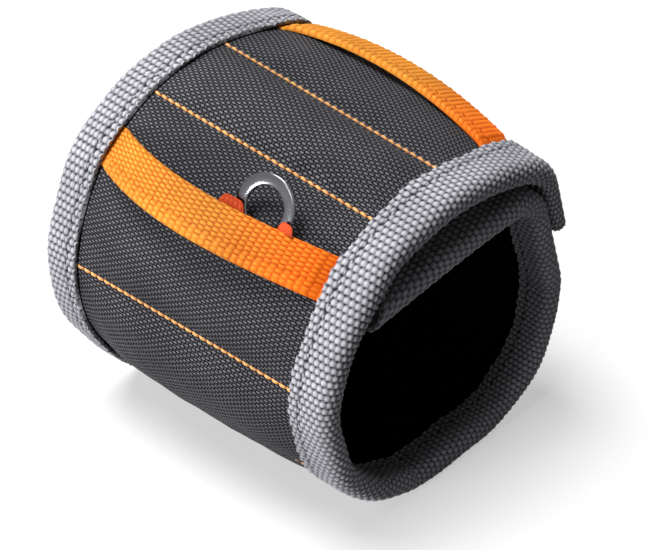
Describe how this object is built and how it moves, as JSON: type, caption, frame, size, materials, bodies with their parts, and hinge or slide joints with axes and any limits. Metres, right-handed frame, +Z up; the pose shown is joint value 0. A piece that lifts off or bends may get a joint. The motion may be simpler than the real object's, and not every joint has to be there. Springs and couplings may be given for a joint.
{
  "type": "magnetic wristband",
  "caption": "Padded wristband rolled into a closed loop, with disc magnets in quilted pockets, bound rims, webbing tool loops, a steel ring and a hook-and-loop closing flap.",
  "frame": {"origin": "on the resting surface under the centre of the front arc, at mid width", "axes": "+X across the band towards the tighter rim, +Y from the front panel towards the closing flap's end, +Z up"},
  "size_m": [0.089, 0.0988, 0.0966],
  "materials": {
    "cover": "coarse plain-woven black nylon",
    "binding": "chunky woven grey tape",
    "webbing": "ribbed orange webbing",
    "thread": "light orange sewing thread",
    "lining": "fine black knit",
    "padding": "dark foam sheet",
    "hook_loop": "black hook-and-loop pile",
    "magnet": "plated disc magnet",
    "ring": "bright zinc-plated steel"
  },
  "bodies": {
    "band_base": {"base_cover": "cover", "base_padding": "padding", "base_lining": "lining", "base_binding_near": "binding", "base_binding_far": "binding", "base_binding_end": "binding", "base_seam_thread_1": "thread", "base_seam_thread_2": "thread", "base_seam_thread_3": "thread", "base_seam_thread_4": "thread", "base_seam_thread_5": "thread", "lower_magnet_1": "magnet", "lower_magnet_2": "magnet", "lower_magnet_3": "magnet", "back_magnet_1": "magnet", "back_magnet_2": "magnet", "back_magnet_3": "magnet", "loop_patch": "hook_loop"},
    "front_panel": {"front_cover": "cover", "front_padding": "padding", "front_lining": "lining", "front_binding_near": "binding", "front_binding_far": "binding", "front_seam_thread": "thread", "front_magnet_1": "magnet", "front_magnet_2": "magnet", "front_magnet_3": "magnet", "front_tool_loop": "webbing", "ring_tab": "webbing"},
    "top_panel": {"top_cover": "cover", "top_padding": "padding", "top_lining": "lining", "top_binding_near": "binding", "top_binding_far": "binding", "top_seam_thread": "thread", "top_magnet_1": "magnet", "top_magnet_2": "magnet", "top_magnet_3": "magnet"},
    "closure_flap": {"flap_cover": "cover", "flap_padding": "padding", "flap_lining": "lining", "flap_binding_near": "binding", "flap_binding_far": "binding", "flap_binding_end": "binding", "flap_seam_thread": "thread", "flap_magnet_1": "magnet", "flap_magnet_2": "magnet", "flap_magnet_3": "magnet", "flap_tool_loop": "webbing", "hook_tape": "hook_loop"},
    "tool_ring": {"tool_ring": "ring"}
  },
  "joints": [
    {"name": "front_fold", "type": "hinge", "parent": "band_base", "child": "front_panel", "pos_m": [0, -0.0465, 0.0501], "axis": [0.9906, 0.1226, -0.0613], "range_deg": [0, 75]},
    {"name": "top_fold", "type": "hinge", "parent": "front_panel", "child": "top_panel", "pos_m": [0, -0.01912, 0.08751], "axis": [0.9903, 0.0891, -0.1071], "range_deg": [0, 75]},
    {"name": "flap_fold", "type": "hinge", "parent": "top_panel", "child": "closure_flap", "pos_m": [0, 0.0036, 0.09153], "axis": [0.9918, 0.0613, -0.1122], "range_deg": [0, 75]},
    {"name": "ring_swing", "type": "hinge", "parent": "front_panel", "child": "tool_ring", "pos_m": [0.0143, -0.03408, 0.07867], "axis": [0.9898, 0.1063, -0.0951], "range_deg": [-27, 0]}
  ]
}
